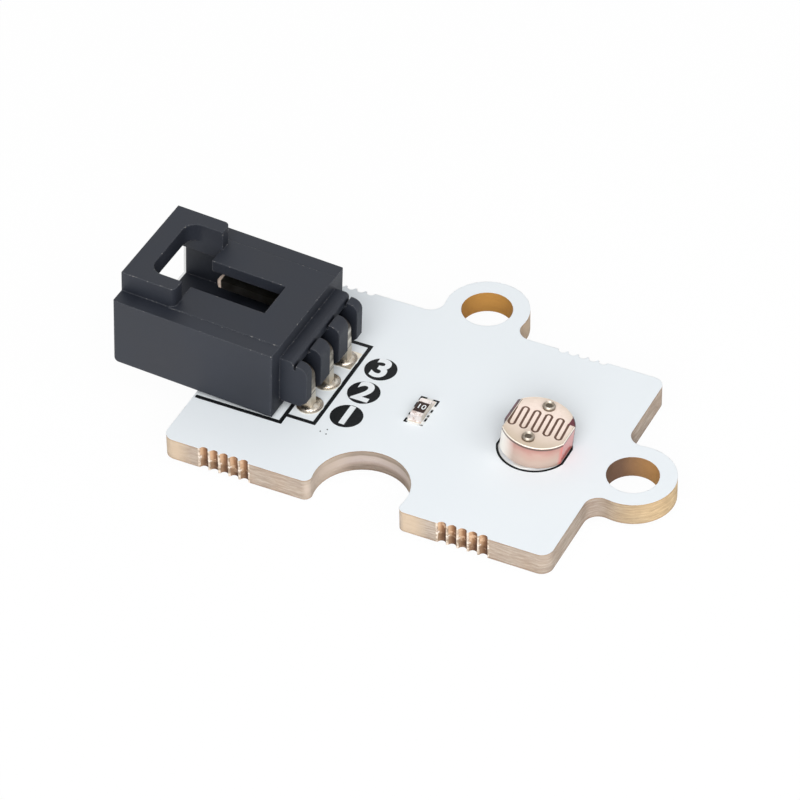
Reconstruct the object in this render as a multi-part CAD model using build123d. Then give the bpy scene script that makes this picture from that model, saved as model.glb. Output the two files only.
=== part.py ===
from build123d import *
import os
from math import radians, sin, sqrt, tan

# Light sensor module: a white puzzle-shaped circuit board with a black three-way header on its left end,
# a round light sensor with a wavy track, and one chip resistor.
# Sizes are in millimetres, angles in degrees. Origin: centre of the end ear's hole, on the board's underside.
# +X runs along the board from the header to the end ear, +Y towards the back ear, +Z up.

# Circuit board
board_length = 27.2
board_width = 18.65
board_thickness = 1.6
board_corner_radius = 0.8
ear_radius = 2.86
ear_hole_radius = 1.72
ear_reach = 1.7  # ear centre beyond the edge that carries it
ear_neck_fillet = 1.0
notch_radius = 3.2
notch_inset = 1.25  # notch centre inside the front edge
notch_lip_fillet = 0.5
bite_radius = 0.3
bite_depth = 0.26
bite_pitch = 0.72
bite_count = 5
bite_row_left = 9.15  # centre of the left row of bites from the board's middle
bite_row_right = 7.7

# Copper and print on the board
copper_thickness = 0.05
print_thickness = 0.02
print_line = 0.27
print_clearance = 0.06  # bare board round each pad

# Header pin row and its plated holes
pin_pitch = 2.54
pin_side = 0.64
pin_point = 0.16  # chamfer on the pin's ends
pin_bend_radius = 0.55
pin_row_setback = 7.26  # pin row from the board's left edge
pin_hole_radius = 0.5
pin_pad_radius = 0.89
square_pad_side = 1.72
barrel_wall = 0.05
joint_height = 0.42
joint_cone = 0.9  # solder below the board
joint_neck = 0.08  # solder left round the pin at the cone's tip
joint_rim = 0.04  # pad left bare round the solder
tail_reach = 1.5  # pins and leads end this far below the board, which the module stands on

# Header housing, in its own frame: x = 0 at the rear wall, the mouth at -shroud_length, z = 0 its underside
header_pitch = 2.55  # the mouth is raised, as the header was soldered
header_yaw = 1.07
header_standoff = 0.24  # underside of the rear wall above the board
pin_row_reach = 1.5  # pin row behind the rear wall
shroud_length = 11.58
shroud_width = 10.0
wall_height = 5.2
side_wall = 0.85
floor_wall = 0.85
ceiling_wall = 0.8
base_wall = 2.38
mouth_lead_in = 0.37
mouth_edge_radius = 0.35
corner_radius = 0.12
rim_width = 1.1
rim_step = 0.05
bridge_inset = 1.18
bridge_length = 3.87
bridge_height = 1.52
bridge_bar = 1.42
bridge_arm = 1.05
bridge_bar_gap = 0.16  # bar's underside above the wall top
bridge_end_radius = 0.4
window_corner = 0.95
window_length = 3.78
slot_width = 2.96
pin_height = 2.78  # pin axis above the housing's underside
pin_tip_depth = 3.7  # pin tip behind the mouth
pin_play = 0.02

# Rear comb of the housing
comb_inset = 1.1
comb_reach = 1.98
comb_gap = 1.3
fin_top = 4.02
fin_bottom = 0.75
fin_round = 0.65
fin_chamfer = 0.5
ledge_reach = 1.0
ledge_top = 4.27
ledge_bottom = 3.55
ledge_round = 0.28
groove_width = 0.16
groove_depth = 0.34

# Light sensor
sensor_setback = 5.1  # sensor centre from the board's right edge
sensor_lean = 6.7  # it leans towards the end ear
sensor_radius = 2.4
sensor_half_flat = 2.04
sensor_flat_shift = 0.16  # middle of the two flats from the round's centre, away from the header
sensor_height = 1.74
coat_wall = 0.06
coat_bevel = 0.04
coat_bead_reach = 0.16  # bead of coat on the flat that faces the header
coat_bead_length = 2.3
coat_bead_shift = 0.27
coat_bead_drop = 0.07
film_thickness = 0.04
film_inset = 0.02
lead_spacing = 3.24
lead_radius = 0.25
lead_play = 0.02
rivet_radius = 0.42
rivet_height = 0.28
rivet_dimple = 0.24
lead_hole_radius = 0.4
lead_pad_radius = 0.8
track_pitch = 0.795
track_count = 5
track_reach = 0.95
track_width = 0.16
track_turn = 4.0
track_shift = 0.02
track_rise = 0.06
bare_strip = 0.04  # cell left bare along the left flat
bare_corner = 0.42
bare_corner_start = 0.85

# Chip resistor, its length along Y, in a printed frame
resistor_reach = 8.02  # frame's centre from the sensor's, towards the header
resistor_frame_width = 1.2
resistor_frame_length = 2.6
resistor_frame_shift = -0.08
resistor_frame_line = 0.13
resistor_length = 1.6
resistor_width = 0.8
resistor_thickness = 0.45
resistor_cap = 0.3
resistor_side_slip = 0.08  # the chip sits off the middle of its frame, as it was soldered
resistor_end_slip = -0.23
cap_thickness = 0.04
glaze_gap = 0.02
glaze_thickness = 0.03
land_gap = 0.7
land_margin = 0.06  # land's edges inside the printed frame's line
land_rim = 0.05  # land left bare beyond the solder
land_solder_height = 0.32
land_solder_sag = 0.3

# Printed lines and labels
outline_inset = 0.02  # side lines of the header's outline inside the housing's sides
outline_reach = 1.0  # rear line of the header's outline before the pin row
pin_box_margin = 1.64  # side lines of the pin box outside the outer pins
pin_box_reach = 1.05  # rear line of the pin box behind the pin row
print_shift = 0.12
label_radius = 1.09
label_reach = 2.63
sensor_print_line = 0.22
sensor_print_radius = 2.36
sensor_print_half_flat = 2.24
sensor_print_shift = -0.16

touch = 0.01  # how near a point lies to the shape it is picked by

# Places worked out from the sizes
right_edge = -ear_reach
left_edge = right_edge - board_length
middle_x = (left_edge + right_edge) / 2
front_edge = -board_width / 2
back_edge = board_width / 2
pin_row_x = left_edge + pin_row_setback
pin_ys = {"signal": pin_pitch, "supply": 0.0, "ground": -pin_pitch}
cavity_height = wall_height - floor_wall - ceiling_wall
cavity_width = shroud_width - 2 * side_wall
bridge_width = shroud_width - 2 * bridge_inset
outline_half_width = shroud_width / 2 - outline_inset
pin_box_half_width = pin_pitch + pin_box_margin
window_width = bridge_width - 2 * bridge_arm
comb_width = shroud_width - 2 * comb_inset
sensor_x = right_edge - sensor_setback
resistor_x = sensor_x - resistor_reach
lead_ys = {"front": -lead_spacing / 2, "back": lead_spacing / 2}
left_flat = sensor_flat_shift - sensor_half_flat
right_flat = sensor_flat_shift + sensor_half_flat

# The header turns on the board about the middle pin, and tips back about its rear bottom edge.
pin_place = Pos(pin_row_x, 0, board_thickness) * Rot(0, 0, -header_yaw)
header_place = pin_place * Pos(-pin_row_reach, 0, header_standoff) * Rot(0, header_pitch, 0)

# The sensor leans about its centre, with its lowest edge on the print.
sensor_lift = print_thickness + right_flat * sin(radians(sensor_lean))
sensor_place = Pos(sensor_x, 0, board_thickness + sensor_lift) * Rot(0, sensor_lean, 0)


def block(x_span, y_span, z_span):
    size = [b - a for a, b in (x_span, y_span, z_span)]
    centre = [(a + b) / 2 for a, b in (x_span, y_span, z_span)]
    return Pos(*centre) * Box(*size)


def disc(radius, bottom, top):
    return Pos(0, 0, bottom) * extrude(Circle(radius), top - bottom)


def flatted_circle(radius, half_flat, shift):
    return Circle(radius) & Pos(shift, 0) * Rectangle(2 * half_flat, 2 * radius)


# Board


def ear_points():
    return [Vector(0, 0), Vector(middle_x, back_edge + ear_reach)]


def board_outline():
    plate = Pos(middle_x, 0) * Rectangle(board_length, board_width)
    outline = fillet(plate.vertices(), board_corner_radius)
    for centre in ear_points():
        outline += Pos(centre) * Circle(ear_radius)
        necks = [v for v in outline.vertices() if abs((Vector(v) - centre).length - ear_radius) < touch]
        outline = fillet(necks, ear_neck_fillet)
    notch = Vector(middle_x, front_edge + notch_inset)
    outline -= Pos(notch) * Circle(notch_radius)
    lips = [v for v in outline.vertices() if abs((Vector(v) - notch).length - notch_radius) < touch]
    outline = fillet(lips, notch_lip_fillet)
    bites = Sketch() + [
        Pos(row + (n - (bite_count - 1) / 2) * bite_pitch, side * (back_edge + bite_radius - bite_depth))
        * Circle(bite_radius)
        for row in (middle_x - bite_row_left, middle_x + bite_row_right)
        for n in range(bite_count)
        for side in (-1, 1)
    ]
    return outline - bites


def circuit_board():
    outline = board_outline()
    for centre in ear_points():
        outline -= Pos(centre) * Circle(ear_hole_radius)
    for y in pin_ys.values():
        outline -= Pos(pin_row_x, y) * Circle(pin_hole_radius + barrel_wall)
    for y in lead_ys.values():
        outline -= Pos(sensor_x, y) * Circle(lead_hole_radius + barrel_wall)
    return extrude(outline, board_thickness)


def plated_hole(hole_radius, pad):
    top = Pos(0, 0, board_thickness) * extrude(pad, copper_thickness)
    bottom = extrude(pad, -copper_thickness)
    barrel = disc(hole_radius + barrel_wall, 0, board_thickness)
    bore = disc(hole_radius, -2 * copper_thickness, board_thickness + 2 * copper_thickness)
    return top + bottom + barrel - bore


# Header


def pin_shape(y):
    tip = Rot(0, header_pitch, 0) * Pos(-shroud_length + pin_tip_depth, 0, pin_height)
    tip = tip.position + Vector(0, y, header_standoff)
    # The axis line, tilted with the housing, meets the upright leg at the bend.
    bend_z = tip.Z - (pin_row_reach - tip.X) * tan(radians(header_pitch))
    path = FilletPolyline(
        tip,
        (pin_row_reach, y, bend_z),
        (pin_row_reach, y, -board_thickness - tail_reach),
        radius=pin_bend_radius,
    )
    start = Plane(path @ 0, x_dir=(0, 1, 0), z_dir=path % 0)
    bar = sweep(start * Rectangle(pin_side, pin_side), path)
    ends = bar.faces().sort_by(Axis.X)[:1] + bar.faces().sort_by(Axis.Z)[:1]
    return chamfer([edge for end in ends for edge in end.edges()], pin_point)


def header_pin(y):
    return pin_place * Pos(-pin_row_reach, 0, 0) * pin_shape(y)


def pin_channels():
    side = pin_side + 2 * pin_play
    bottom = pin_height - side / 2
    span = (-shroud_length, 2 * comb_reach)
    return [block(span, (y - side / 2, y + side / 2), (bottom, bottom + side)) for y in pin_ys.values()]


def latch_bridge():
    length = bridge_length
    outer = Rectangle(length, bridge_width, align=(Align.MIN, Align.CENTER))
    rear = outer.vertices().group_by(Axis.X)[-1]
    outer = fillet(rear, bridge_end_radius)
    window = Pos(bridge_bar, 0) * Rectangle(2 * length, window_width, align=(Align.MIN, Align.CENTER))
    window = fillet(window.vertices().group_by(Axis.X)[0], window_corner)
    plan = outer - window
    bridge = Pos(-shroud_length, 0, wall_height) * extrude(plan, bridge_height)
    under = block(
        (-shroud_length, -shroud_length + bridge_bar + window_corner),
        (-window_width / 2, window_width / 2),
        (wall_height, wall_height + bridge_bar_gap),
    )
    return bridge - under


def rear_comb():
    half = comb_width / 2
    ledge = Polyline(
        (0, ledge_bottom), (ledge_reach, ledge_bottom), (ledge_reach, ledge_top), (0, ledge_top), close=True
    )
    ledge = make_face(ledge)
    nose = ledge.vertices().group_by(Axis.X)[-1].sort_by(Axis.Y)[-1]
    ledge = fillet(nose, ledge_round)
    fin = make_face(
        Polyline(
            (0, fin_bottom),
            (comb_reach - fin_chamfer, fin_bottom),
            (comb_reach, fin_bottom + fin_chamfer),
            (comb_reach, fin_top),
            (ledge_reach + groove_width, fin_top),
            (ledge_reach + groove_width, fin_top - groove_depth),
            (0, fin_top - groove_depth),
            close=True,
        )
    )
    crown = fin.vertices().group_by(Axis.X)[-1].sort_by(Axis.Y)[-1]
    fin = fillet(crown, fin_round)
    side = Plane.XZ.offset(-half)
    comb = extrude(side * fin, comb_width)
    for y in pin_ys.values():
        comb -= block((0, 2 * comb_reach), (y - comb_gap / 2, y + comb_gap / 2), (0, wall_height))
    return comb + extrude(side * ledge, comb_width)


def header_housing():
    length = shroud_length
    shell = block((-length, 0), (-shroud_width / 2, shroud_width / 2), (0, wall_height))
    mouth_edge = shell.edges().filter_by(Axis.Y).group_by(Axis.X)[0].sort_by(Axis.Z)[0]
    shell = fillet(mouth_edge, mouth_edge_radius)
    shell = fillet(shell.edges().filter_by(Axis.Z), corner_radius)
    top_half = shroud_width / 2 - rim_width
    top_start = -length + bridge_length - bridge_end_radius
    shell += block((top_start, 0), (-top_half, top_half), (wall_height, wall_height + rim_step))
    shell += latch_bridge()
    shell -= block(
        (-length, -base_wall),
        (-cavity_width / 2, cavity_width / 2),
        (floor_wall, floor_wall + cavity_height),
    )
    lead_in = Plane.YZ.offset(-length) * Pos(0, floor_wall + cavity_height / 2) * Rectangle(
        cavity_width + 2 * mouth_lead_in, cavity_height + 2 * mouth_lead_in
    )
    shell -= extrude(lead_in, mouth_lead_in, taper=45)
    shell -= block(
        (-length, -length + window_length),
        (-window_width / 2, window_width / 2),
        (wall_height - 2 * ceiling_wall, wall_height + bridge_bar_gap),
    )
    shell -= block(
        (-length + window_length, -base_wall),
        (-slot_width / 2, slot_width / 2),
        (wall_height - 2 * ceiling_wall, wall_height + 2 * rim_step),
    )
    shell += rear_comb()
    for channel in pin_channels():
        shell -= channel
    return header_place * shell


def solder_joint(hole_radius, pad_radius, core_radius, domed):
    # Half section in the XZ plane: dome on the board, fill in the plated hole, cone below.
    upper = board_thickness + copper_thickness
    lower = -copper_thickness
    foot = pad_radius - joint_rim
    neck = core_radius + joint_neck
    if domed:
        dome_radius = (foot**2 + joint_height**2) / (2 * joint_height)
        section = [
            RadiusArc((0, upper + joint_height), (foot, upper), -dome_radius),
            Line((foot, upper), (hole_radius, upper)),
        ]
    else:
        section = [Line((0, upper), (hole_radius, upper))]
    section += [
        Line((hole_radius, upper), (hole_radius, lower)),
        Line((hole_radius, lower), (foot, lower)),
        Line((foot, lower), (neck, lower - joint_cone)),
        Line((neck, lower - joint_cone), (0, lower - joint_cone)),
        Line((0, lower - joint_cone), section[0] @ 0),
    ]
    return revolve(Plane.XZ * make_face(section), Axis.Z)


# Light sensor, in its own frame: z = 0 at the underside of the disc


def sensor_outline(inset):
    return flatted_circle(sensor_radius - inset, sensor_half_flat - inset, sensor_flat_shift)


def lead_bores(radius):
    return [Pos(0, y) * Circle(radius) for y in lead_ys.values()]


base_top = sensor_height - 2 * film_thickness
cell_top = base_top + film_thickness


def sensor_layer(outline, bottom, top):
    for bore in lead_bores(lead_radius + lead_play):
        outline -= bore
    return sensor_place * Pos(0, 0, bottom) * extrude(outline, top - bottom)


def wavy_track():
    leg_gap = track_pitch / 2
    turn = leg_gap / 2
    straight = track_reach - turn
    ring = Circle(turn + track_width / 2) - Circle(turn - track_width / 2)
    half_box = Rectangle(leg_gap + track_width, leg_gap)
    upper_half = ring & Pos(0, turn) * half_box
    lower_half = ring & Pos(0, -turn) * half_box
    first = -(track_count - 1) / 2 * track_pitch
    track = Sketch()
    for n in range(track_count):
        x = first + n * track_pitch
        track += Pos(x, -straight) * lower_half
        for leg in (x - turn, x + turn):
            track += Pos(leg, 0) * Rectangle(track_width, 2 * straight)
        if n < track_count - 1:
            track += Pos(x + leg_gap, straight) * upper_half
    return Pos(track_shift, track_rise) * Rot(0, 0, track_turn) * track


def electrode_films():
    metal = sensor_outline(coat_wall + film_inset)
    metal -= wavy_track()
    metal -= Pos(left_flat, sensor_radius - track_reach + track_rise) * Rectangle(
        2 * (bare_strip + coat_wall), 2 * sensor_radius
    )
    corner_span = bare_corner + coat_wall
    metal -= Pos(right_flat - corner_span, bare_corner_start) * Rectangle(
        2 * corner_span, 2 * sensor_radius, align=(Align.MIN, Align.MIN)
    )
    return metal


def electrode(side):
    metal = electrode_films()
    pieces = sorted(metal.faces(), key=lambda f: f.area)[-2:]
    pieces = sorted(pieces, key=lambda f: f.center().Y)
    chosen = pieces[0] if side == "front" else pieces[1]
    return sensor_layer(Sketch() + chosen, cell_top, sensor_height)


def sensor_coat():
    ring = extrude(sensor_outline(0), sensor_height)
    rim = ring.faces().sort_by(Axis.Z)[-1].edges()
    ring = chamfer(rim, coat_bevel)
    bead = SlotOverall(coat_bead_length, 2 * coat_bead_reach, rotation=90)
    ring += extrude(Pos(left_flat, coat_bead_shift) * bead, sensor_height - coat_bead_drop)
    ring -= extrude(sensor_outline(coat_wall), sensor_height)
    return sensor_place * ring


def sensor_lead(y):
    # Riveted over the disc, leaning with it, and upright through the board.
    head = (sensor_place * Pos(0, y, sensor_height + rivet_height / 2)).position
    bend = (sensor_place * Pos(0, y, 0)).position
    path = Polyline(head, bend, (bend.X, y, -tail_reach))
    shaft = sweep(Plane(path @ 0, z_dir=path % 0) * Circle(lead_radius), path, transition=Transition.RIGHT)
    rivet = Polyline(
        (0, 0),
        (rivet_radius, 0),
        (rivet_radius, rivet_height / 2),
        ((rivet_radius + rivet_dimple) / 2, rivet_height),
        (rivet_dimple, rivet_height / 2),
        (0, rivet_height / 2),
        close=True,
    )
    rivet = revolve(Plane.XZ * make_face(rivet), Axis.Z)
    return shaft + sensor_place * Pos(0, y, sensor_height) * rivet


# Chip resistor, in its own frame: z = 0 on its lands


frame_place = Pos(resistor_x, resistor_frame_shift, board_thickness)
land_place = frame_place * Pos(0, 0, copper_thickness)
chip_place = land_place * Pos(resistor_side_slip, resistor_end_slip)
chip_top = cap_thickness + resistor_thickness
chip_half = resistor_length / 2
chip_side = resistor_width / 2
land_end = (resistor_frame_length - resistor_frame_line) / 2 - land_margin
land_side = (resistor_frame_width - resistor_frame_line) / 2 - land_margin
half_turns = {"back": Rot(0, 0, 0), "front": Rot(0, 0, 180)}


def resistor_body():
    return chip_place * block((-chip_side, chip_side), (-chip_half, chip_half), (cap_thickness, chip_top))


def resistor_glaze():
    half = chip_half - resistor_cap - glaze_gap
    side = chip_side - glaze_gap
    return chip_place * block((-side, side), (-half, half), (chip_top, chip_top + glaze_thickness))


def resistor_end(side):
    # Wrapped round the end of the ceramic block.
    cap = block(
        (-chip_side, chip_side),
        (chip_half - resistor_cap, chip_half + cap_thickness),
        (0, chip_top + cap_thickness),
    )
    cap = fillet(cap.faces().sort_by(Axis.Y)[-1].edges(), cap_thickness)
    cap -= block((-chip_side, chip_side), (0, chip_half), (cap_thickness, chip_top))
    return chip_place * half_turns[side] * cap


def resistor_land(side):
    land = block((-land_side, land_side), (land_gap / 2, land_end), (-copper_thickness, 0))
    return land_place * half_turns[side] * land


def land_solder(side):
    slip = resistor_end_slip if side == "back" else -resistor_end_slip
    wall = chip_half + cap_thickness + slip
    foot = land_end - land_rim
    sag = (wall + (foot - wall) * land_solder_sag, land_solder_height * land_solder_sag)
    section = make_face(Polyline((wall, 0), (foot, 0), sag, (wall, land_solder_height), close=True))
    half = land_side - land_rim
    wedge = extrude(Plane.YZ.offset(-half) * section, 2 * half)
    return land_place * half_turns[side] * wedge


# Print: lines and labels on the board's top


def frame_line(length, width, line):
    return Rectangle(length + line, width + line) - Rectangle(length - line, width - line)


def board_print():
    rear_line = pin_row_x - outline_reach
    box_line = pin_row_x + pin_box_reach
    outline_length = 2 * (rear_line - left_edge)
    art = Pos(left_edge, print_shift) * frame_line(outline_length, 2 * outline_half_width, print_line)
    art &= Pos(left_edge + print_line / 2, 0) * Rectangle(
        board_length, board_width, align=(Align.MIN, Align.CENTER)
    )
    box_place = Pos((rear_line + box_line) / 2, print_shift)
    art += box_place * frame_line(box_line - rear_line, 2 * pin_box_half_width, print_line)
    half_line = sensor_print_line / 2
    ring = flatted_circle(sensor_print_radius + half_line, sensor_print_half_flat + half_line, 0)
    ring -= flatted_circle(sensor_print_radius - half_line, sensor_print_half_flat - half_line, 0)
    art += Pos(sensor_x, sensor_print_shift) * ring
    chip_frame = frame_line(resistor_frame_width, resistor_frame_length, resistor_frame_line)
    art += Pos(resistor_x, resistor_frame_shift) * chip_frame
    for y in pin_ys.values():
        art += Pos(pin_row_x + label_reach, y) * Circle(label_radius)
        art -= Pos(pin_row_x, y) * Circle(pin_pad_radius + print_clearance)
    for y in lead_ys.values():
        art -= Pos(sensor_x, y) * Circle(lead_pad_radius + print_clearance)
    return Pos(0, 0, board_thickness) * extrude(art, print_thickness)


def build_nodes():
    nodes = {
        "circuit_board": circuit_board(),
        "board_print": board_print(),
        "header_housing": header_housing(),
        "sensor_base": sensor_layer(sensor_outline(coat_wall), 0, base_top),
        "sensor_cell": sensor_layer(sensor_outline(coat_wall), base_top, cell_top),
        "sensor_coat": sensor_coat(),
        "resistor_body": resistor_body(),
        "resistor_glaze": resistor_glaze(),
    }
    for name, y in pin_ys.items():
        pin = header_pin(y)
        pad = Rectangle(square_pad_side, square_pad_side) if name == "signal" else Circle(pin_pad_radius)
        place = Pos(pin_row_x, y)
        nodes[name + "_pin"] = pin
        nodes[name + "_pad"] = place * plated_hole(pin_hole_radius, pad)
        joint = place * solder_joint(pin_hole_radius, pin_pad_radius, pin_side / sqrt(2), True)
        nodes[name + "_solder"] = joint - pin
    for side, y in lead_ys.items():
        lead = sensor_lead(y)
        place = Pos(sensor_x, y)
        nodes[side + "_electrode"] = electrode(side)
        nodes[side + "_lead"] = lead
        nodes[side + "_lead_pad"] = place * plated_hole(lead_hole_radius, Circle(lead_pad_radius))
        joint = place * solder_joint(lead_hole_radius, lead_pad_radius, lead_radius, False)
        nodes[side + "_lead_solder"] = joint - lead
    for side in ("front", "back"):
        nodes[side + "_terminal"] = resistor_end(side)
        nodes[side + "_land"] = resistor_land(side)
        nodes[side + "_land_solder"] = land_solder(side)
    return nodes


os.makedirs("parts", exist_ok=True)
for node, solid in build_nodes().items():
    solid.label = node
    export_step(solid, f"parts/{node}.step")
    print(node, len(solid.solids()), round(solid.volume, 4))
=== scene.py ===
from math import cos, radians, sin

import bpy
from mathutils import Euler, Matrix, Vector


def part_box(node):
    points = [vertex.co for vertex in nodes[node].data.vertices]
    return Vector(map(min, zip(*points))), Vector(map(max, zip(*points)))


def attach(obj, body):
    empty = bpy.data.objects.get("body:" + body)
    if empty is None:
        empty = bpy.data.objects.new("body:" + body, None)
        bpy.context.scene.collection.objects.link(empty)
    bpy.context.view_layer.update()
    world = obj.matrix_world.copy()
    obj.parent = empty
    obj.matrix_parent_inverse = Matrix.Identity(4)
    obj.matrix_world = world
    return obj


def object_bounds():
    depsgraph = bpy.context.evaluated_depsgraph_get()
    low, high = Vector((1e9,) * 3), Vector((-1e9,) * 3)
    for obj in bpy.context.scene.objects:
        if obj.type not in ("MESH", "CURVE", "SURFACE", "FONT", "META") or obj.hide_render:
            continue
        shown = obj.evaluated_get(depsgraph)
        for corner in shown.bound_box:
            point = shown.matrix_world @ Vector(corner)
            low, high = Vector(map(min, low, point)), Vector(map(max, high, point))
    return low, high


# Light sensor module on a plain white floor.
# Lengths are in metres unless a name ends in _mm or _MM. Inside a look, places are in millimetres.
# Colours are linear red, green and blue. A ramp's stops are pairs of a place from 0 to 1 and a colour.
MM = 0.001
WHITE = (1.0, 1.0, 1.0)
BLACK = (0.0, 0.0, 0.0)
NO_HEIGHT = (1, 1, 0)

# Camera, as it stood when the photograph was taken
CAMERA_PLACE = (0.086466, -0.208631, 0.203837)
CAMERA_TURN_DEGREES = (49.0386, 0.7086, 25.6307)
CAMERA_LENS_MM = 214.59
CAMERA_SENSOR_MM = 36.0
CAMERA_SEES_FROM = 0.01
CAMERA_SEES_TO = 20.0

# Lamps: name, side length, power in watts, direction the light travels, distance from the object
OBJECT_CENTRE = Vector((-0.016, 0.0, 0.003))
LAMPS = (
    ("back_softbox", 0.30, 0.14, (0.386, -0.514, -0.766), 0.40),
    ("camera_softbox", 0.44, 2.62, (-0.28, 0.74, -0.61), 0.46),
    ("side_strip", 0.15, 0.22, (-0.80, 0.15, -0.58), 0.35),
)

# Sky and floor: both look white to the camera and light the object less than that
SKY_COLOUR = (0.97, 0.985, 1.0)
SKY_LIGHT = 0.27
SKY_MIRRORED = 0.7  # share of the white sky that reflections show
FLOOR_COLOUR = (0.97, 0.97, 0.97)
FLOOR_GLOW = 0.96  # share of plain white in the floor that is seen, the rest takes the shadow
FLOOR_MIRRORED = 0.35  # how much brighter the floor is in reflections
FLOOR_HALF = 3.0
FLOOR_GAP = 0.02 * MM

# Board, as the part has it, and where its walls change colour
BOARD_TOP_MM = 1.6
BOARD_TOP = BOARD_TOP_MM * MM
BOARD_HALF_WIDTH_MM = 9.325
BOARD_RIGHT_EDGE_MM = -1.7
BACK_EAR_HOLE_ACROSS_MM = 11.025
EAR_HOLE_MM = 1.72  # radius
NOTCH_MIDDLE_MM = (-8.075, 0.8)  # across the board, and up
NOTCH_RADIUS_MM = 3.2
BITE_DEPTH_MM = 0.26
BITE_ROW_HALF_MM = 1.85
BITE_ROWS_FROM_MIDDLE_MM = (-9.15, 7.7)
BITE_WAIST_MM = 0.75  # height of the pale band painted across the bites as a highlight on their bulge; lighter above it, darker below
SMOOTH_WALL_MM = (3.6, 1.0)  # where the evenly cut wall lies to the left of a row of bites: from, to
WALL_RIM_MM = (0.16, 0.14)  # height of the darker rims: lower, upper

# Print, as the part has it, and as far as it is worn
PRINT_THICKNESS_MM = 0.02
PRINT_RING_MIDDLE_MM = -0.16  # across the board
PRINT_RING_WORN_MM = (2.31, 2.19)  # where its worn part ends: round, flats
PRINT_FADE_MM = 0.02
FRAME_WORN_MM = (1.05, 1.75)  # half sizes of the field in which the chip's frame is worn
# What is left of the chip's frame, from its middle: along from, along to, across from, across to
KEPT_FRAME_MM = (
    (-0.75, -0.20, 0.90, 1.45),
    (0.22, 0.75, 0.75, 1.45),
    (0.45, 0.75, 0.10, 0.40),
    (0.45, 0.75, -0.40, -0.18),
    (0.45, 0.75, -0.85, -0.50),
    (-0.75, -0.40, -1.45, -0.95),
    (-0.75, -0.45, -0.62, -0.40),
    (-0.75, -0.45, 0.20, 0.70),
    (0.45, 0.75, -1.30, -1.20),
)
DOTS_MM = ((-19.895, -4.576), (-19.554, -4.236), (-19.436, -4.663))
DOT_RADIUS = 0.045 * MM
DOT_STEP_DEGREES = 30

# Lettering
LABEL_REACH = 2.63 * MM  # from a pin to the middle of its label
LABEL_DIGITS = {"height": 2.5 * MM, "thickness": 0.01 * MM, "weight": 0.08 * MM, "spread": 1.0}
CODE_DIGITS = {"height": 0.62 * MM, "thickness": 0.006 * MM, "weight": 0.008 * MM, "spread": 1.05}
CODE_SHIFT = 0.04 * MM
LETTERING_GAP = 0.001 * MM
LETTERING_ROUNDNESS = 6

# Header, as the part has it, and where its pins change colour
HEADER_PITCH = radians(2.55)
HEADER_YAW = radians(1.07)
HEADER_SHIFT_MM = Vector((-1.5, 0.028, 0.24))
MOUTH_LEAD_IN_MM = -11.12
HOUSED_PIN_MM = 1.2  # before the pin row, from where the pins lie inside the housing
PIN_TIP_MM = 0.36
SHADED_PIN_MM = (3.9, 4.3)  # height at which the comb's shade starts and is full
WETTED_PIN_MM = (2.74, 2.84)  # height of the dark line that ends the wetted part: lower, upper edge

# Sensor, as the part has it, and where its bare corner changes colour
SENSOR_LEAN = radians(6.7)
SENSOR_HEIGHT_MM = 1.74
SENSOR_FOOT_MM = 2.2  # from the middle of its underside to the edge that rests on the print
LEAD_FROM_MIDDLE_MM = 1.62
BARE_CORNER_MM = 1.62  # from the sensor's middle, along the board

# Meshes and samples
SHARP_FROM_DEGREES = 32
STEPS_IN_BEVEL = 4
STEPS_IN_HOLLOWS = 4


class Nodes:
    """Short ways to build a node tree."""

    def __init__(self, tree):
        self.tree = tree

    def feed(self, socket, value):
        if isinstance(value, bpy.types.NodeSocket):
            self.tree.links.new(value, socket)
        elif hasattr(value, "__len__") and len(value) == 3 and socket.type == "RGBA":
            socket.default_value = (*value, 1.0)
        else:
            socket.default_value = value

    def add(self, kind, inputs=(), **settings):
        node = self.tree.nodes.new("ShaderNode" + kind)
        for key, value in settings.items():
            setattr(node, key, value)
        for key, value in dict(inputs).items():
            self.feed(node.inputs[key], value)
        return node

    def math(self, operation, a, b=0.0):
        return self.add("Math", {0: a, 1: b}, operation=operation).outputs[0]

    def times(self, a, b):
        return self.math("MULTIPLY", a, b)

    def blend_shaders(self, amount, a, b, output):
        both = self.add("MixShader", {0: amount, 1: a.outputs[0], 2: b.outputs[0]})
        self.feed(self.tree.nodes[output].inputs["Surface"], both.outputs[0])


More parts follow.
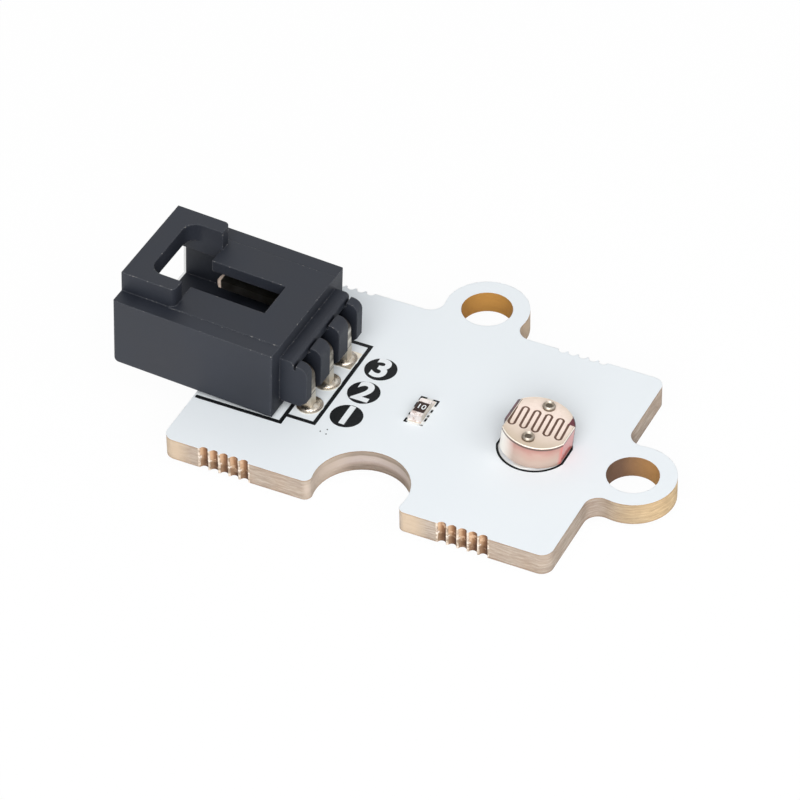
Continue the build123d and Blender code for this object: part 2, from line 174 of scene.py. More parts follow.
class Looks(Nodes):
    """One material and short ways to work out its colours from places on the surface."""

    def __init__(self, name, **settings):
        self.material = bpy.data.materials.new(name)
        self.material.use_nodes = True
        super().__init__(self.material.node_tree)
        self.shader = self.tree.nodes["Principled BSDF"]
        for key, value in settings.items():
            self.set(key.replace("_", " "), value)

    def set(self, key, value):
        self.feed(self.shader.inputs[key], value)

    def vector(self, operation, a, b):
        return self.add("VectorMath", {0: a, 1: b}, operation=operation).outputs[0]

    def place_mm(self, origin=(0, 0, 0), turn=(0, 0, 0)):
        """The point on the surface in millimetres, in a frame with that origin and turn."""
        spot = self.vector("SUBTRACT", self.add("TexCoord").outputs["Object"], tuple(origin))
        spot = self.add("VectorRotate", {"Vector": spot, "Rotation": turn}, rotation_type="EULER_XYZ")
        return self.add("VectorMath", {0: spot.outputs[0], "Scale": 1 / MM}, operation="SCALE").outputs[0]

    def split(self, vector):
        return self.add("SeparateXYZ", {0: vector}).outputs

    def facing(self, axis):
        """How far the surface faces along X, Y or Z, from -1 to 1."""
        return self.split(self.add("NewGeometry").outputs["True Normal"])[axis]

    def span(self, value, low, high):
        """0 up to low, 1 from high on and even in between. With low above high it falls instead."""
        node = self.add("MapRange", {"Value": value, "From Min": low, "From Max": high})
        return node.outputs[0]

    def inside(self, value, low, high, soft):
        """1 between low and high, 0 outside, soft to that distance on both sides of each."""
        rise = self.span(value, low - soft, low + soft)
        fall = self.span(value, high + soft, high - soft)
        return self.times(rise, fall)

    def distance(self, vector, point):
        return self.add("VectorMath", {0: vector, 1: point}, operation="DISTANCE").outputs["Value"]

    def level_distance(self, vector, point):
        """The distance as seen from above."""
        return self.distance(self.vector("MULTIPLY", vector, NO_HEIGHT), (*point, 0.0))

    def noise(self, vector, scale, detail=3.0, stretch=(1, 1, 1), roughness=0.5):
        grain = {"Scale": scale, "Detail": detail, "Roughness": roughness}
        stretched = self.vector("MULTIPLY", vector, stretch)
        return self.add("TexNoise", {"Vector": stretched, **grain}).outputs[0]

    def swing(self, noise, reach):
        """Noise moved to lie about 0, as far as half of reach to either side."""
        return self.times(self.math("SUBTRACT", noise, 0.5), reach)

    def ramp(self, value, *stops):
        node = self.add("ValToRGB", {0: value})
        band = node.color_ramp.elements
        while len(band) < len(stops):
            band.new(0.5)
        for element, (place, colour) in zip(band, stops):
            element.position = place
            element.color = (*colour, 1.0)
        return node.outputs[0]

    def mix(self, amount, a, b, blend="MIX"):
        node = self.add("Mix", data_type="RGBA", blend_type=blend)
        self.feed(node.inputs[0], amount)
        self.feed(node.inputs[6], a)
        self.feed(node.inputs[7], b)
        return node.outputs[2]

    def cover(self, colour, where, share, over):
        """That share of another colour laid over this one, where where is 1."""
        return self.mix(self.times(where, share), colour, over)

    def tint(self, colour, where, by):
        """The colour multiplied by another one, where where is 1."""
        return self.mix(where, colour, by, "MULTIPLY")

    def hollows(self, reach_mm):
        """1 in the open, less in corners and recesses."""
        shade = self.add("AmbientOcclusion", {"Distance": reach_mm * MM}, samples=STEPS_IN_HOLLOWS)
        return shade.outputs["AO"]

    def soft_edges(self, radius_mm):
        return self.add("Bevel", {"Radius": radius_mm * MM}, samples=STEPS_IN_BEVEL).outputs[0]

    def bump(self, height, depth_mm, normal=None):
        inputs = {"Height": height, "Distance": depth_mm * MM}
        if normal is not None:
            inputs["Normal"] = normal
        self.set("Normal", self.add("Bump", inputs).outputs[0])


def milled_wall(look, place, fibre, patch, middle_x_mm):
    """Milled glass and resin: level fibre lines on tan, paler towards the end ear and beside the bites,
    with painted shade in corners and recesses.
    """
    x = look.split(place)[0]
    wall = look.ramp(
        fibre, (0.30, (0.23, 0.17, 0.13)), (0.5, (0.41, 0.335, 0.27)), (0.70, (0.64, 0.57, 0.50))
    )
    wall = look.tint(wall, look.span(patch, 0.35, 0.65), (0.92, 0.82, 0.74))
    wall = look.mix(0.35, wall, (0.45, 0.37, 0.305))
    wall = look.tint(wall, look.span(x, -1.2, 0.8), (1.05, 1.0, 0.80))
    wall = look.tint(wall, look.span(x, 0.8, 3.0), (1.38, 1.34, 1.22))
    for row in BITE_ROWS_FROM_MIDDLE_MM:
        row_start = middle_x_mm + row - BITE_ROW_HALF_MM
        smooth = look.inside(x, row_start - SMOOTH_WALL_MM[0], row_start - SMOOTH_WALL_MM[1], 0.5)
        wall = look.cover(wall, smooth, 0.8, (0.61, 0.475, 0.34))
    # Painted shade: the wall is darkened where the surroundings close in, in corners and recesses.
    return look.tint(wall, look.span(look.hollows(2.2), 0.95, 0.60), (0.62, 0.60, 0.62))


def notch_layers(look, wall, place, fibre, patch, middle_x_mm):
    """The layers of the board show as bands in the round notch."""
    across, up = NOTCH_MIDDLE_MM
    reach = look.distance(place, (middle_x_mm, across, up))
    in_notch = look.span(reach, NOTCH_RADIUS_MM + 0.6, NOTCH_RADIUS_MM + 0.3)
    x, _, z = look.split(place)
    layers = look.ramp(
        look.math("DIVIDE", look.math("ADD", z, look.swing(patch, 0.5)), BOARD_TOP_MM),
        (0.20, (0.15, 0.11, 0.085)),
        (0.34, (0.30, 0.235, 0.205)),
        (0.48, (0.45, 0.38, 0.355)),
        (0.72, (0.47, 0.40, 0.365)),
        (0.78, (0.21, 0.17, 0.135)),
        (0.97, (0.32, 0.26, 0.21)),
    )
    layers = look.mix(look.times(fibre, 0.4), layers, wall)
    from_middle = look.math("ABSOLUTE", look.math("SUBTRACT", x, middle_x_mm))
    layers = look.cover(layers, look.span(from_middle, 1.8, 3.1), 0.75, (0.56, 0.46, 0.375))
    return look.cover(wall, in_notch, 0.9, layers)


def darker_rims(look, wall, place):
    z = look.split(place)[2]
    lower = look.span(z, WALL_RIM_MM[0], 0.0)
    upper = look.span(z, BOARD_TOP_MM - WALL_RIM_MM[1], BOARD_TOP_MM)
    rim = look.math("MAXIMUM", upper, lower)
    return look.tint(wall, look.times(rim, 0.7), (0.72, 0.60, 0.48))


def torn_bites(look, wall, place, middle_x_mm):
    """Brown bites, paler where they face +X and darker where they face away as painted light, with crumbs
    partly painted as highlights, a pale painted highlight band at the waist, lighter above it and darker
    below, and ragged pale ridges between them.
    """
    x, y, z = look.split(place)
    depth = look.math("SUBTRACT", BOARD_HALF_WIDTH_MM, look.math("ABSOLUTE", y))
    in_rows = 0.0
    for row in BITE_ROWS_FROM_MIDDLE_MM:
        centre = middle_x_mm + row
        in_row = look.inside(x, centre - BITE_ROW_HALF_MM, centre + BITE_ROW_HALF_MM, 0.02)
        in_rows = look.math("MAXIMUM", in_row, in_rows)
    # Painted light and shade: the bites are paler where they face +X and darker where they face away.
    bite = look.ramp(
        look.math("ADD", look.times(look.facing(0), 0.5), 0.5),
        (0.30, (0.11, 0.050, 0.024)),
        (0.62, (0.21, 0.105, 0.050)),
        (0.92, (0.48, 0.31, 0.19)),
    )
    # Pale crumbs, partly painted highlights on the bites' bulges.
    crumbs_and_glints = look.span(look.noise(place, 2.6, 4.0), 0.55, 0.63)
    bite = look.cover(bite, crumbs_and_glints, 0.55, (0.60, 0.43, 0.29))
    # Lighter above the waist and darker below it.
    height = look.math("ADD", z, look.swing(look.noise(place, 1.6), 0.7))
    bite = look.tint(bite, look.span(height, BITE_WAIST_MM, BITE_WAIST_MM + 0.30), (1.35, 1.35, 1.35))
    below = look.span(height, BITE_WAIST_MM - 0.05, BITE_WAIST_MM - 0.20)
    bite = look.tint(bite, below, (0.62, 0.58, 0.55))
    in_bite = look.times(look.inside(depth, 0.02, BITE_DEPTH_MM + 0.03, 0.02), in_rows)
    wall = look.cover(wall, in_bite, 0.95, bite)
    ridge = look.times(look.span(depth, 0.09, 0.05), in_rows)
    ragged = look.ramp(look.noise(place, 3.2, 4.0), (0.40, (0.36, 0.26, 0.18)), (0.56, (0.82, 0.70, 0.58)))
    wall = look.cover(wall, ridge, 0.85, ragged)
    # Painted highlight: a pale band across the bites at the waist.
    waist_glint = look.times(look.inside(height, BITE_WAIST_MM - 0.05, BITE_WAIST_MM + 0.05, 0.04), in_rows)
    waist_glint = look.times(waist_glint, look.span(depth, 0.19, 0.12))
    return look.cover(wall, waist_glint, 0.9, (0.90, 0.82, 0.74))


def lined_holes(look, wall, place, ear_centres_mm):
    """The ears' holes are darker on their left side than on their right: painted shade."""
    x = look.split(place)[0]
    end_lining = ((0.165, 0.095, 0.060), (0.54, 0.29, 0.10))
    back_lining = ((0.46, 0.235, 0.058), (0.53, 0.275, 0.068))
    for centre, (left, right) in zip(ear_centres_mm, (end_lining, back_lining)):
        reach = look.level_distance(place, centre)
        in_hole = look.span(reach, EAR_HOLE_MM + 0.25, EAR_HOLE_MM + 0.05)
        # Painted shade: each hole's wall goes from a dark colour on the left to a lighter one on the right.
        shaded_lining = look.mix(look.span(x, centre[0] - 1.3, centre[0] + 1.3), left, right)
        wall = look.mix(in_hole, wall, shaded_lining)
    return wall


def board_looks(middle_x_mm, ear_centres_mm):
    """White mask on the level faces, bare glass and resin on the walls."""
    look = Looks("white_board", Specular_IOR_Level=0.2)
    place = look.place_mm()
    flat = look.math("GREATER_THAN", look.math("ABSOLUTE", look.facing(2)), 0.7)
    bend = look.add("CombineXYZ", {2: look.swing(look.noise(place, 0.8, 2.0), 0.35)}).outputs[0]
    fibre = look.noise(look.vector("ADD", place, bend), 1.8, 7.0, (0.42, 0.42, 4.2), 0.70)
    patch = look.noise(place, 0.35, 2.0)
    wall = milled_wall(look, place, fibre, patch, middle_x_mm)
    wall = notch_layers(look, wall, place, fibre, patch, middle_x_mm)
    wall = darker_rims(look, wall, place)
    wall = torn_bites(look, wall, place, middle_x_mm)
    wall = lined_holes(look, wall, place, ear_centres_mm)
    mask = look.ramp(look.noise(place, 0.12, 2.0), (0.3, (0.815, 0.855, 0.885)), (0.7, (0.83, 0.87, 0.895)))
    look.set("Base Color", look.mix(flat, wall, mask))
    look.set("Roughness", look.math("SUBTRACT", 0.78, look.times(flat, 0.23)))
    rough_wall = look.times(look.math("SUBTRACT", 1.0, flat), fibre)
    faint_skin = look.times(look.noise(place, 3.0), 0.05)
    look.bump(look.math("ADD", rough_wall, faint_skin), 0.05, look.soft_edges(0.06))
    return look.material


def worn_frame(look, place, chip_middle_mm):
    """1 where the frame round the chip is worn off."""
    local = look.vector("SUBTRACT", place, (*chip_middle_mm, 0.0))
    along, across, _ = look.split(local)
    kept = 0.0
    for along_low, along_high, across_low, across_high in KEPT_FRAME_MM:
        here_along = look.inside(along, along_low, along_high, 0.04)
        here_across = look.inside(across, across_low, across_high, 0.04)
        kept = look.math("MAXIMUM", look.times(here_along, here_across), kept)
    near = look.times(
        look.span(look.math("ABSOLUTE", along), FRAME_WORN_MM[0] + 0.05, FRAME_WORN_MM[0] - 0.05),
        look.span(look.math("ABSOLUTE", across), FRAME_WORN_MM[1] + 0.05, FRAME_WORN_MM[1] - 0.05),
    )
    return look.times(near, look.math("SUBTRACT", 1.0, kept))


def worn_ring(look, place, sensor_x_mm):
    """1 where the inner part of the sensor's ring is worn off."""
    round_end, flat_end = PRINT_RING_WORN_MM
    reach = look.level_distance(place, (sensor_x_mm, PRINT_RING_MIDDLE_MM))
    along = look.math("ABSOLUTE", look.math("SUBTRACT", look.split(place)[0], sensor_x_mm))
    in_round = look.span(reach, round_end + PRINT_FADE_MM, round_end - PRINT_FADE_MM)
    in_flats = look.span(along, flat_end + PRINT_FADE_MM, flat_end - PRINT_FADE_MM)
    return look.times(in_round, in_flats)


def ink_looks(chip_middle_mm, sensor_x_mm):
    """Black print: the chip's frame is mostly worn off, and the sensor's ring is worn thin."""
    look = Looks("black_ink", Specular_IOR_Level=0.12)
    place = look.place_mm()
    grain = look.noise(place, 6.0, 4.0)
    colour = look.ramp(grain, (0.35, (0.006, 0.007, 0.008)), (0.75, (0.016, 0.017, 0.019)))
    worn = worn_frame(look, place, chip_middle_mm)
    worn = look.math("MAXIMUM", worn, worn_ring(look, place, sensor_x_mm))
    look.set("Base Color", look.cover(colour, worn, 0.96, (0.80, 0.81, 0.80)))
    look.set("Roughness", look.span(grain, -0.5, 1.5))
    look.bump(grain, 0.004)
    return look.material


def housing_looks(origin):
    """Moulded charcoal plastic: a painted highlight along the edges, pale flecks on them that are partly
    wear and partly painted highlight, painted shade with less gloss in recesses, and a polished lead-in.
    """
    look = Looks("header_plastic")
    place = look.place_mm(origin, (0.0, -HEADER_PITCH, HEADER_YAW))
    # Painted shade: darker and less glossy in corners and recesses.
    open_sky = look.span(look.hollows(2.5), 0.15, 0.65)
    cloud = look.noise(place, 0.35, 4.0)
    smooth = look.soft_edges(0.11)
    straight = look.add("NewGeometry").outputs["Normal"]
    turn = look.add("VectorMath", {0: smooth, 1: straight}, operation="DOT_PRODUCT").outputs["Value"]
    edge = look.span(turn, 0.998, 0.95)
    # Pale flecks along the edges: partly wear, partly painted highlight.
    wear_and_glint_fleck = look.span(look.noise(place, 5.0, 5.0, roughness=0.75), 0.57, 0.62)
    wear_and_glint_fleck = look.times(wear_and_glint_fleck, look.span(look.noise(place, 0.7), 0.42, 0.52))
    colour = look.ramp(cloud, (0.3, (0.012, 0.0145, 0.022)), (0.7, (0.018, 0.0215, 0.031)))
    # Painted highlight: all edges a little paler.
    colour = look.cover(colour, edge, 0.6, (0.055, 0.060, 0.072))
    colour = look.cover(colour, look.times(edge, wear_and_glint_fleck), 0.8, (0.45, 0.43, 0.40))
    look.set("Base Color", look.mix(open_sky, look.mix(0.45, colour, BLACK), colour))
    # The lead-in's faces lean back at 45 degrees, just inside the mouth.
    slope = look.inside(look.facing(0), -0.78, -0.62, 0.01)
    lead_in = look.times(look.math("LESS_THAN", look.split(place)[0], MOUTH_LEAD_IN_MM), slope)
    specular = look.math("ADD", look.times(open_sky, 0.34), 0.08)
    look.set("Specular IOR Level", look.math("MAXIMUM", specular, lead_in))
    look.set("Coat Weight", lead_in)
    dull = look.span(cloud, -1.3, 1.9)
    look.set("Roughness", look.math("SUBTRACT", dull, look.times(lead_in, 0.35)))
    look.bump(look.noise(place, 14.0), 0.006, smooth)
    return look.material


def metal_looks(name, pale, dark, roughness, stains, scale_mm, bump_mm):
    """Tinned metal with uneven tints and a gently rolling surface."""
    look = Looks(name, Metallic=1.0)
    place = look.place_mm()
    roll = look.noise(place, 1.0 / scale_mm)
    stain = look.span(look.noise(place, 1.3 / scale_mm, 4.0, roughness=0.6), *stains)
    look.set("Base Color", look.mix(stain, pale, dark))
    look.set("Roughness", look.math("ADD", look.times(roll, 0.12), roughness))
    look.bump(roll, bump_mm)
    return look.material


def pin_looks(row_x_mm, tip_x_mm):
    """Gold-flashed pins, silvery where solder has wetted them: bright, less metallic tips as a painted
    highlight, painted shade in the housing and under the comb, and dark painted reflection bands on their
    outer faces.
    """
    look = Looks("plated_pin", Metallic=1.0)
    place = look.place_mm()
    x, _, z = look.split(place)
    lower_line, upper_line = WETTED_PIN_MM
    roll = look.noise(place, 0.9)
    colour = look.ramp(roll, (0.35, (0.80, 0.72, 0.60)), (0.65, (0.95, 0.90, 0.81)))
    behind = look.math("GREATER_THAN", x, row_x_mm - HOUSED_PIN_MM)
    shade = look.times(behind, look.span(z, *SHADED_PIN_MM))
    colour = look.cover(colour, shade, 0.93, (0.035, 0.030, 0.028))
    # Painted shade inside the housing.
    housed_shade = look.math("LESS_THAN", x, row_x_mm - HOUSED_PIN_MM)
    colour = look.cover(colour, housed_shade, 0.75, (0.04, 0.035, 0.028))
    # Painted highlight: the tips pale and less metallic, as if lit through the window.
    lit_tip = look.span(x, tip_x_mm + PIN_TIP_MM + 0.05, tip_x_mm + PIN_TIP_MM)
    colour = look.mix(lit_tip, colour, (1.0, 0.80, 0.66))
    outer = look.math("GREATER_THAN", look.facing(0), 0.5)
    outer = look.times(look.times(outer, look.span(z, upper_line, upper_line + 0.06)), behind)
    # Painted reflection: dark bands on the pins' outer faces.
    reflection_bands = look.span(look.noise(place, 1.0, 1.0, (0.2, 0.2, 2.4)), 0.38, 0.62)
    colour = look.cover(colour, look.times(outer, reflection_bands), 0.7, (0.12, 0.10, 0.075))
    wetted = look.times(behind, look.span(z, lower_line + 0.06, lower_line))
    colour = look.mix(wetted, colour, (0.74, 0.69, 0.60))
    line = look.times(behind, look.inside(z, lower_line, upper_line, 0.02))
    look.set("Base Color", look.cover(colour, line, 0.8, (0.10, 0.08, 0.06)))
    look.set("Metallic", look.math("SUBTRACT", 1.0, look.times(lit_tip, 0.9)))
    look.set("Roughness", look.math("ADD", look.times(roll, 0.2), 0.26))
    look.bump(roll, 0.006)
    return look.material


def solder_looks(row_x_mm):
    """Warm silver solder with brown flux on the side towards the housing."""
    look = Looks("solder", Metallic=1.0)
    place = look.place_mm()
    roll = look.noise(place, 0.9, 1.0)
    away = look.math("SUBTRACT", look.split(place)[0], row_x_mm)
    flux = look.span(look.math("ADD", away, look.swing(roll, 1.2)), -0.05, -0.55)
    colour = look.ramp(look.noise(place, 2.4), (0.3, (0.56, 0.48, 0.38)), (0.7, (0.86, 0.81, 0.73)))
    look.set("Base Color", look.mix(flux, colour, (0.17, 0.115, 0.07)))
    look.set("Roughness", look.math("ADD", look.times(flux, 0.2), 0.27))
    look.bump(roll, 0.05, look.soft_edges(0.12))
    return look.material


def sensor_place(look, origin):
    """Millimetres in the sensor's own leaning frame, from the middle of its underside."""
    return look.place_mm(origin, (0.0, -SENSOR_LEAN, 0.0))


def lead_looks(origin):
    """Tinned wire, its riveted heads with painted shade at the rim and in the dimple."""
    look = Looks("lead_wire", Metallic=1.0, Roughness=0.45)
    place = sensor_place(look, origin)
    x, y, _ = look.split(place)
    across = look.math("SUBTRACT", look.math("ABSOLUTE", y), LEAD_FROM_MIDDLE_MM)
    from_lead = look.distance(look.add("CombineXYZ", {0: x, 1: across}).outputs[0], (0, 0, 0))
    stain = look.noise(place, 3.0, 4.0)
    colour = look.ramp(stain, (0.35, (0.34, 0.30, 0.25)), (0.65, (0.54, 0.49, 0.43)))
    # Painted shade in the dimple.
    colour = look.mix(look.span(from_lead, 0.26, 0.20), colour, (0.14, 0.115, 0.09))
    # Painted shade round the rim of the head.
    colour = look.mix(look.span(from_lead, 0.36, 0.42), colour, (0.22, 0.18, 0.14))
    look.set("Base Color", colour)
    look.bump(stain, 0.01)
    return look.material


def coat_looks(origin):
    """Clear resin over pink ceramic: a pale rim as a painted highlight, a dark line under it as painted
    shade, a cream left side as a painted highlight, wine beads.
    """
    look = Looks("sensor_coat", Roughness=0.30, Coat_Weight=0.6, Coat_Roughness=0.08)
    place = sensor_place(look, origin)
    x, y, z = look.split(place)
    height = look.math("DIVIDE", z, SENSOR_HEIGHT_MM)
    cloud = look.noise(place, 1.1)
    colour = look.ramp(
        look.math("ADD", height, look.swing(cloud, 0.5)),
        (0.0, (0.46, 0.34, 0.28)),
        (0.30, (0.50, 0.365, 0.30)),
        (0.62, (0.52, 0.325, 0.265)),
        (0.90, (0.44, 0.20, 0.165)),
    )
    # Painted highlight: cream on the left side.
    left = look.times(look.span(x, -0.6, -1.5), look.span(y, 0.4, -0.4))
    colour = look.mix(left, colour, (0.96, 0.90, 0.82))
    colour = look.cover(colour, look.span(x, 2.05, 2.17), 0.9, (0.64, 0.165, 0.145))
    # Painted shade: a dark line under the rim.
    under_rim_shade = look.inside(height, 0.88, 0.965, 0.015)
    colour = look.cover(colour, under_rim_shade, 0.95, (0.10, 0.06, 0.045))
    # Painted highlight: a pale line along the rim.
    colour = look.mix(look.span(height, 0.968, 0.982), colour, (0.90, 0.82, 0.70))
    corner = look.times(look.span(x, BARE_CORNER_MM, BARE_CORNER_MM + 0.1), look.span(y, 0.80, 0.90))
    bead = look.math("MAXIMUM", corner, look.span(x, -1.84, -1.88))
    wine = look.ramp(cloud, (0.35, (0.045, 0.030, 0.042)), (0.65, (0.13, 0.045, 0.055)))
    look.set("Base Color", look.mix(bead, colour, wine))
    look.bump(cloud, 0.02)
    return look.material


def ceramic_looks(origin):
    look = Looks("sensor_ceramic", Roughness=0.5, Subsurface_Weight=0.2, Subsurface_Scale=0.5 * MM)
    cloud = look.noise(sensor_place(look, origin), 1.5)
    look.set("Base Color", look.ramp(cloud, (0.3, (0.72, 0.48, 0.42)), (0.7, (0.80, 0.62, 0.54))))
    return look.material


def cell_looks(origin):
    """The photo layer: brown in the track, wine red in the bare corner."""
    look = Looks("sensor_cell", Roughness=0.5, Specular_IOR_Level=0.2)
    place = sensor_place(look, origin)
    x, y, _ = look.split(place)
    corner = look.times(look.span(x, BARE_CORNER_MM, BARE_CORNER_MM + 0.1), look.span(y, 0.78, 0.88))
    brown = look.ramp(look.noise(place, 2.0), (0.3, (0.105, 0.058, 0.040)), (0.7, (0.155, 0.092, 0.068)))
    wine = look.ramp(look.noise(place, 2.5), (0.3, (0.11, 0.035, 0.045)), (0.7, (0.18, 0.055, 0.065)))
    look.set("Base Color", look.mix(corner, brown, wine))
    return look.material


def electrode_looks(origin):
    """Sprayed metal film: satin beige, pinker between the track's turns and darker towards the rim."""
    look = Looks("electrode_film", Roughness=0.45)
    place = sensor_place(look, origin)
    y = look.split(place)[1]
    mottle = look.noise(place, 3.5, 5.0, roughness=0.65)
    colour = look.ramp(mottle, (0.3, (0.84, 0.69, 0.60)), (0.7, (0.95, 0.81, 0.72)))
    near_track = look.span(look.math("ABSOLUTE", y), 1.2, 0.5)
    colour = look.cover(colour, near_track, 0.6, (0.92, 0.74, 0.66))
    colour = look.mix(look.span(y, 0.2, -1.9), colour, (0.66, 0.54, 0.43))
    rim = look.span(look.level_distance(place, (0.0, 0.0)), 1.7, 2.25)
    look.set("Base Color", look.cover(colour, rim, 0.35, (0.55, 0.45, 0.33)))
    look.bump(mottle, 0.008)
    return look.material


def chip_glaze_looks():
    look = Looks("chip_glaze", Roughness=0.4, Specular_IOR_Level=0.2)
    grain = look.noise(look.place_mm(), 5.0)
    look.set("Base Color", look.ramp(grain, (0.3, (0.020, 0.009, 0.007)), (0.7, (0.050, 0.027, 0.022))))
    return look.material


def plain_looks(name, pale, dark, roughness, scale):
    look = Looks(name)
    grain = look.noise(look.place_mm(), scale, 4.0)
    look.set("Base Color", look.ramp(grain, (0.3, dark), (0.7, pale)))
    look.set("Roughness", look.math("ADD", look.times(grain, 0.1), roughness))
    return look.material


def link(item):
    bpy.context.scene.collection.objects.link(item)


def dress(node, material):
    mesh = node.data
    mesh.materials.clear()
    mesh.materials.append(material)
    mesh.shade_smooth()
    mesh.set_sharp_from_angle(angle=radians(SHARP_FROM_DEGREES))


def add_piece(name, mesh, place, material):
    mesh.materials.append(material)
    piece = bpy.data.objects.new(name, mesh)
    piece.location = place
    link(piece)
    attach(piece, "root")
    return piece


def lettering(name, words, foot, material, height, thickness, weight, spread):
    """Flat digits that stand on foot, read along +X with their tops towards +Y."""
    curve = bpy.data.curves.new(name + "_curve", "FONT")
    curve.body = words
    curve.align_x = "CENTER"
    curve.align_y = "CENTER"
    curve.size = height
    curve.offset = weight
    curve.extrude = thickness / 2
    curve.resolution_u = LETTERING_ROUNDNESS
    curve.space_character = spread
    draft = bpy.data.objects.new(name + "_draft", curve)
    link(draft)
    bpy.context.view_layer.update()
    mesh = bpy.data.meshes.new_from_object(draft.evaluated_get(bpy.context.evaluated_depsgraph_get()))
    bpy.data.objects.remove(draft)
    return add_piece(name, mesh, foot + Vector((0.0, 0.0, thickness / 2)), material)


def printed_dot(name, place, radius, thickness, material):
    """A small disc of ink, flat on the board."""
    turns = [radians(angle) for angle in range(0, 360, DOT_STEP_DEGREES)]
    rim = [(radius * cos(turn), radius * sin(turn)) for turn in turns]
    corners = [(x, y, z) for z in (0.0, thickness) for x, y in rim]
    count = len(rim)
    sides = [(i, (i + 1) % count, count + (i + 1) % count, count + i) for i in range(count)]
    faces = [tuple(reversed(range(count))), tuple(range(count, 2 * count)), *sides]
    mesh = bpy.data.meshes.new(name)
    mesh.from_pydata(corners, [], faces)
    return add_piece(name, mesh, place, material)


def middle(node):
    low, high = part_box(node)
    return (low + high) / 2


def add_lamps():
    for name, side, power, way, distance in LAMPS:
        lamp = bpy.data.lights.new(name, "AREA")
        lamp.energy = power
        lamp.size = side
        holder = bpy.data.objects.new(name, lamp)
        way = Vector(way).normalized()
        holder.location = OBJECT_CENTRE - way * distance
        holder.rotation_euler = way.to_track_quat("-Z", "Y").to_euler()
        link(holder)


def add_world():
    world = bpy.data.worlds.new("studio")
    world.use_nodes = True
    build = Nodes(world.node_tree)
    sky = build.tree.nodes["Background"]
    build.feed(sky.inputs["Color"], SKY_COLOUR)
    build.feed(sky.inputs["Strength"], SKY_LIGHT)
    backdrop = build.add("Background", {"Color": WHITE})
    rays = build.add("LightPath").outputs
    mirrored = build.times(rays["Is Glossy Ray"], SKY_MIRRORED)
    seen = build.math("MAXIMUM", rays["Is Camera Ray"], mirrored)
    build.blend_shaders(seen, sky, backdrop, "World Output")
    bpy.context.scene.world = world


def add_floor(height):
    corners = [(-1, -1), (1, -1), (1, 1), (-1, 1)]
    mesh = bpy.data.meshes.new("floor")
    mesh.from_pydata([(x * FLOOR_HALF, y * FLOOR_HALF, height) for x, y in corners], [], [(0, 1, 2, 3)])
    floor = bpy.data.objects.new("floor", mesh)
    link(floor)
    look = Looks("floor", Roughness=0.9, Specular_IOR_Level=0.1, Base_Color=FLOOR_COLOUR)
    rays = look.add("LightPath").outputs
    strength = look.math("ADD", look.times(rays["Is Glossy Ray"], FLOOR_MIRRORED), 1.0)
    glow = look.add("Emission", {"Color": WHITE, "Strength": strength})
    seen = look.math("MAXIMUM", rays["Is Camera Ray"], rays["Is Glossy Ray"])
    seen = look.math("MAXIMUM", seen, rays["Is Transmission Ray"])
    look.blend_shaders(look.times(seen, FLOOR_GLOW), look.shader, glow, "Material Output")
    mesh.materials.append(look.material)


def add_camera():
    lens = bpy.data.cameras.new("camera")
    lens.lens = CAMERA_LENS_MM
    lens.sensor_width = CAMERA_SENSOR_MM
    lens.clip_start = CAMERA_SEES_FROM
    lens.clip_end = CAMERA_SEES_TO
    camera = bpy.data.objects.new("camera", lens)
    camera.location = CAMERA_PLACE
    camera.rotation_euler = Euler([radians(angle) for angle in CAMERA_TURN_DEGREES])
    link(camera)
    bpy.context.scene.camera = camera


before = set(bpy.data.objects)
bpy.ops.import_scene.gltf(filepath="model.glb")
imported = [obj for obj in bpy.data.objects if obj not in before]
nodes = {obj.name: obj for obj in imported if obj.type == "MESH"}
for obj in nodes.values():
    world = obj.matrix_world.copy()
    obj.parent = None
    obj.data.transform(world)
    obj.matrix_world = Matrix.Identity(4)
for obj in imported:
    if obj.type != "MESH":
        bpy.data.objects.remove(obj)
cad_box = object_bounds()

# Places that the looks are worked out from
board_left_edge_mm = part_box("circuit_board")[0].x / MM
board_middle_mm = (board_left_edge_mm + BOARD_RIGHT_EDGE_MM) / 2
ear_centres_mm = ((0.0, 0.0), (board_middle_mm, BACK_EAR_HOLE_ACROSS_MM))
chip_middle_mm = (middle("front_land") + middle("back_land")).xy / 2 / MM
pin_row_x = middle("supply_pad").x
pin_row_mm = pin_row_x / MM
pin_tip_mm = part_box("supply_pin")[0].x / MM
header_origin = Vector((pin_row_x, 0.0, BOARD_TOP)) + HEADER_SHIFT_MM * MM
sensor_x = middle("front_lead_pad").x
sensor_rise_mm = BOARD_TOP_MM + PRINT_THICKNESS_MM + SENSOR_FOOT_MM * sin(SENSOR_LEAN)
sensor_origin = Vector((sensor_x, 0.0, sensor_rise_mm * MM))

# Materials that several pieces share
black_ink = ink_looks(chip_middle_mm, sensor_x / MM)
white_ink = plain_looks("white_ink", (0.84, 0.87, 0.89), (0.78, 0.81, 0.83), 0.4, 4.0)
plated_pin = pin_looks(pin_row_mm, pin_tip_mm)
solder = solder_looks(pin_row_mm)
tinned_pad = metal_looks(
    "tinned_pad",
    pale=(0.80, 0.74, 0.64),
    dark=(0.60, 0.50, 0.38),
    roughness=0.30,
    stains=(0.50, 0.75),
    scale_mm=0.5,
    bump_mm=0.01,
)
chip_metal = metal_looks(
    "chip_metal",
    pale=(0.88, 0.82, 0.80),
    dark=(0.46, 0.33, 0.28),
    roughness=0.42,
    stains=(0.50, 0.68),
    scale_mm=0.30,
    bump_mm=0.03,
)
masked_pad = plain_looks("masked_pad", (0.84, 0.83, 0.80), (0.76, 0.73, 0.68), 0.4, 2.0)
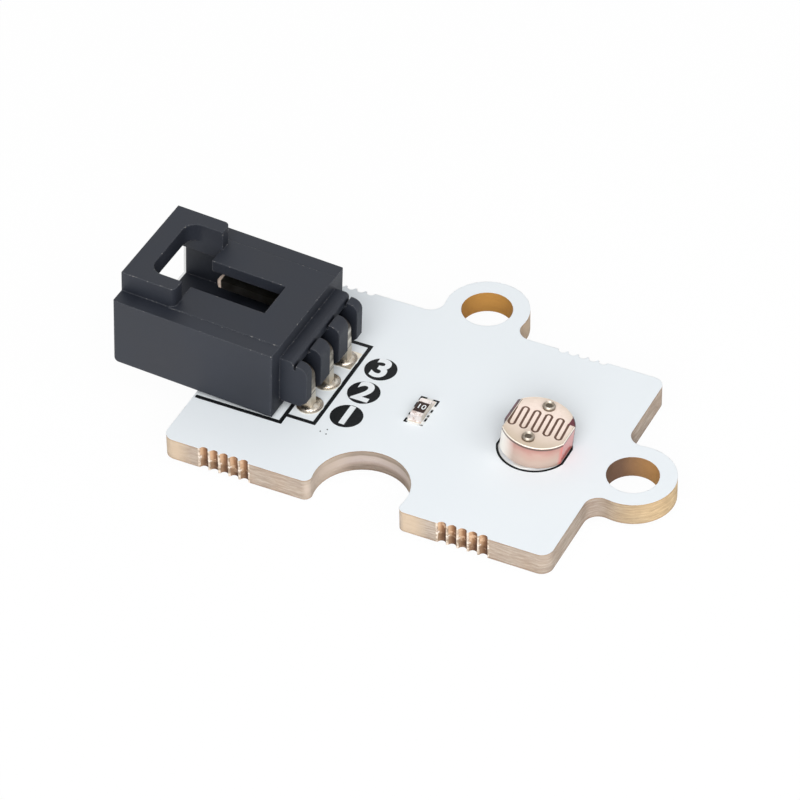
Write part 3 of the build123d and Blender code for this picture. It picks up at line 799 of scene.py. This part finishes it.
lead_wire = lead_looks(sensor_origin)
electrode_film = electrode_looks(sensor_origin)

materials = {
    "circuit_board": board_looks(board_middle_mm, ear_centres_mm),
    "board_print": black_ink,
    "header_housing": housing_looks(header_origin),
    "sensor_base": ceramic_looks(sensor_origin),
    "sensor_cell": cell_looks(sensor_origin),
    "sensor_coat": coat_looks(sensor_origin),
    "resistor_body": plain_looks("chip_ceramic", (0.66, 0.61, 0.54), (0.48, 0.42, 0.36), 0.5, 3.0),
    "resistor_glaze": chip_glaze_looks(),
}
for pin in ("signal", "supply", "ground"):
    materials[pin + "_pin"] = plated_pin
    materials[pin + "_pad"] = tinned_pad
    materials[pin + "_solder"] = solder
for side in ("front", "back"):
    materials[side + "_electrode"] = electrode_film
    materials[side + "_lead"] = lead_wire
    materials[side + "_lead_pad"] = masked_pad
    materials[side + "_lead_solder"] = masked_pad
    materials[side + "_terminal"] = chip_metal
    materials[side + "_land"] = tinned_pad
    materials[side + "_land_solder"] = chip_metal
for node, material in materials.items():
    dress(nodes[node], material)

# Digits on the round labels and on the chip, and the dots of ink near the front notch
print_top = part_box("board_print")[1].z
for pin, digit in {"signal": "3", "supply": "2", "ground": "1"}.items():
    hole = middle(pin + "_pad")
    foot = Vector((hole.x + LABEL_REACH, hole.y, print_top + LETTERING_GAP))
    label = lettering("label_" + digit, digit, foot, white_ink, **LABEL_DIGITS)

for number, (x_mm, y_mm) in enumerate(DOTS_MM, 1):
    spot = (x_mm * MM, y_mm * MM, BOARD_TOP)
    dot = printed_dot(f"printed_dot_{number}", spot, DOT_RADIUS, print_top - BOARD_TOP, black_ink)

glaze = middle("resistor_glaze")
glaze_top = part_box("resistor_glaze")[1].z
foot = Vector((glaze.x, glaze.y + CODE_SHIFT, glaze_top + LETTERING_GAP))
chip_code = lettering("chip_code", "10", foot, white_ink, **CODE_DIGITS)

add_lamps()
add_world()
add_floor(cad_box[0][2] - FLOOR_GAP)
add_camera()
bpy.context.scene.view_settings.view_transform = "Standard"
